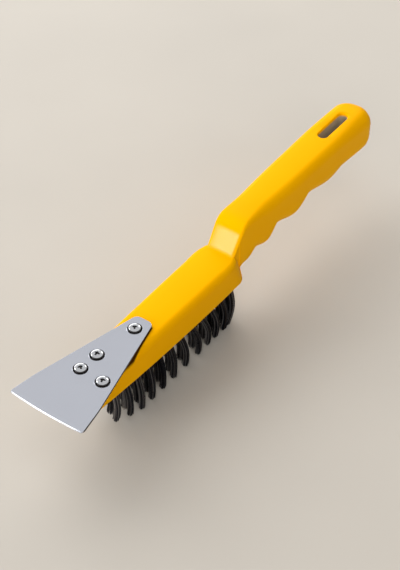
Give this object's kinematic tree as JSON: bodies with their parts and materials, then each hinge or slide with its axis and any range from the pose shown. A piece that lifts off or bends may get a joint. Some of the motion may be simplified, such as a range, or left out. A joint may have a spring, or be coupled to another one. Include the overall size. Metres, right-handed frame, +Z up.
{
  "type": "wire brush",
  "caption": "Hand wire brush: moulded plastic block with a stepped grip and hang slot, rows of wire tufts below, and a flat steel scraper blade screwed to the nose.",
  "frame": {"origin": "centre of the bounding box seen from above, at the level of the tuft tips that the brush stands on", "axes": "+X from the scraper blade towards the grip's end, +Y across the rows of tufts, +Z up, away from the tips"},
  "size_m": [0.2888, 0.0446, 0.0625],
  "materials": {
    "yellow_plastic": "smooth moulded plastic, satin to semi-gloss",
    "blade_steel": "fine polished sheet steel",
    "screw_steel": "bright zinc plated",
    "tuft_wire": "dark, lightly oiled drawn wire"
  },
  "bodies": {
    "root": {"handle_body": "yellow_plastic", "scraper_blade": "blade_steel", "blade_screw_1": "screw_steel", "blade_screw_2": "screw_steel", "blade_screw_3": "screw_steel", "blade_screw_4": "screw_steel", "wire_tuft_01_a": "tuft_wire", "wire_tuft_01_b": "tuft_wire", "wire_tuft_01_c": "tuft_wire", "wire_tuft_01_d": "tuft_wire", "wire_tuft_02_a": "tuft_wire", "wire_tuft_02_b": "tuft_wire", "wire_tuft_02_c": "tuft_wire", "wire_tuft_02_d": "tuft_wire", "wire_tuft_03_a": "tuft_wire", "wire_tuft_03_b": "tuft_wire", "wire_tuft_03_c": "tuft_wire", "wire_tuft_03_d": "tuft_wire", "wire_tuft_04_a": "tuft_wire", "wire_tuft_04_b": "tuft_wire", "wire_tuft_04_c": "tuft_wire", "wire_tuft_04_d": "tuft_wire", "wire_tuft_05_a": "tuft_wire", "wire_tuft_05_b": "tuft_wire", "wire_tuft_05_c": "tuft_wire", "wire_tuft_05_d": "tuft_wire", "wire_tuft_06_a": "tuft_wire", "wire_tuft_06_b": "tuft_wire", "wire_tuft_06_c": "tuft_wire", "wire_tuft_06_d": "tuft_wire", "wire_tuft_07_a": "tuft_wire", "wire_tuft_07_b": "tuft_wire", "wire_tuft_07_c": "tuft_wire", "wire_tuft_07_d": "tuft_wire", "wire_tuft_08_a": "tuft_wire", "wire_tuft_08_b": "tuft_wire", "wire_tuft_08_c": "tuft_wire", "wire_tuft_08_d": "tuft_wire", "wire_tuft_09_a": "tuft_wire", "wire_tuft_09_b": "tuft_wire", "wire_tuft_09_c": "tuft_wire", "wire_tuft_09_d": "tuft_wire", "wire_tuft_10_a": "tuft_wire", "wire_tuft_10_b": "tuft_wire", "wire_tuft_10_c": "tuft_wire", "wire_tuft_10_d": "tuft_wire", "wire_tuft_11_a": "tuft_wire", "wire_tuft_11_b": "tuft_wire", "wire_tuft_11_c": "tuft_wire", "wire_tuft_11_d": "tuft_wire", "wire_tuft_12_a": "tuft_wire", "wire_tuft_12_b": "tuft_wire", "wire_tuft_12_c": "tuft_wire", "wire_tuft_12_d": "tuft_wire"}
  },
  "joints": []
}
